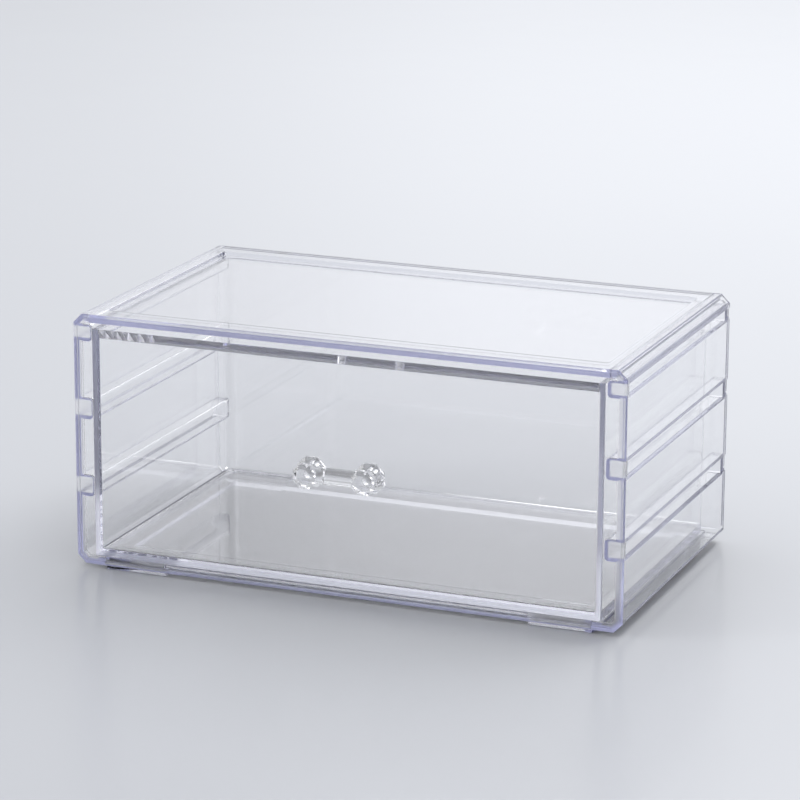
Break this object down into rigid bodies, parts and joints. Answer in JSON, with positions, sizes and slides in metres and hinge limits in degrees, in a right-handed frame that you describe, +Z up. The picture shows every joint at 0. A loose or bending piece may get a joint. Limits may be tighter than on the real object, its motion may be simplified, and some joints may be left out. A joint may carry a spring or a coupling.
{
  "type": "desk organizer drawer box",
  "caption": "Clear plastic desktop box with chamfered corners, a recessed top and a pull-out drawer with a faceted twin-knob handle.",
  "frame": {"origin": "on the ground plane under the middle of the bounding box, handle included", "axes": "+X to the right seen from the front, -Y out of the drawer front, +Z up"},
  "size_m": [0.24, 0.1474, 0.109],
  "materials": {
    "clear_case": "clear polished moulded polystyrene, faint violet tint in its edges",
    "clear_drawer": "clear polished moulded polystyrene",
    "clear_handle": "clear polished, faceted"
  },
  "bodies": {
    "case": {"left_side_panel": "clear_case", "right_side_panel": "clear_case", "top_panel": "clear_case", "bottom_panel": "clear_case", "back_panel": "clear_case"},
    "drawer": {"drawer_tub": "clear_drawer", "drawer_handle": "clear_handle"}
  },
  "joints": [
    {"name": "drawer_slide", "type": "slide", "parent": "case", "child": "drawer", "axis": [0, -1, 0], "range_m": [0, 0.105]}
  ]
}
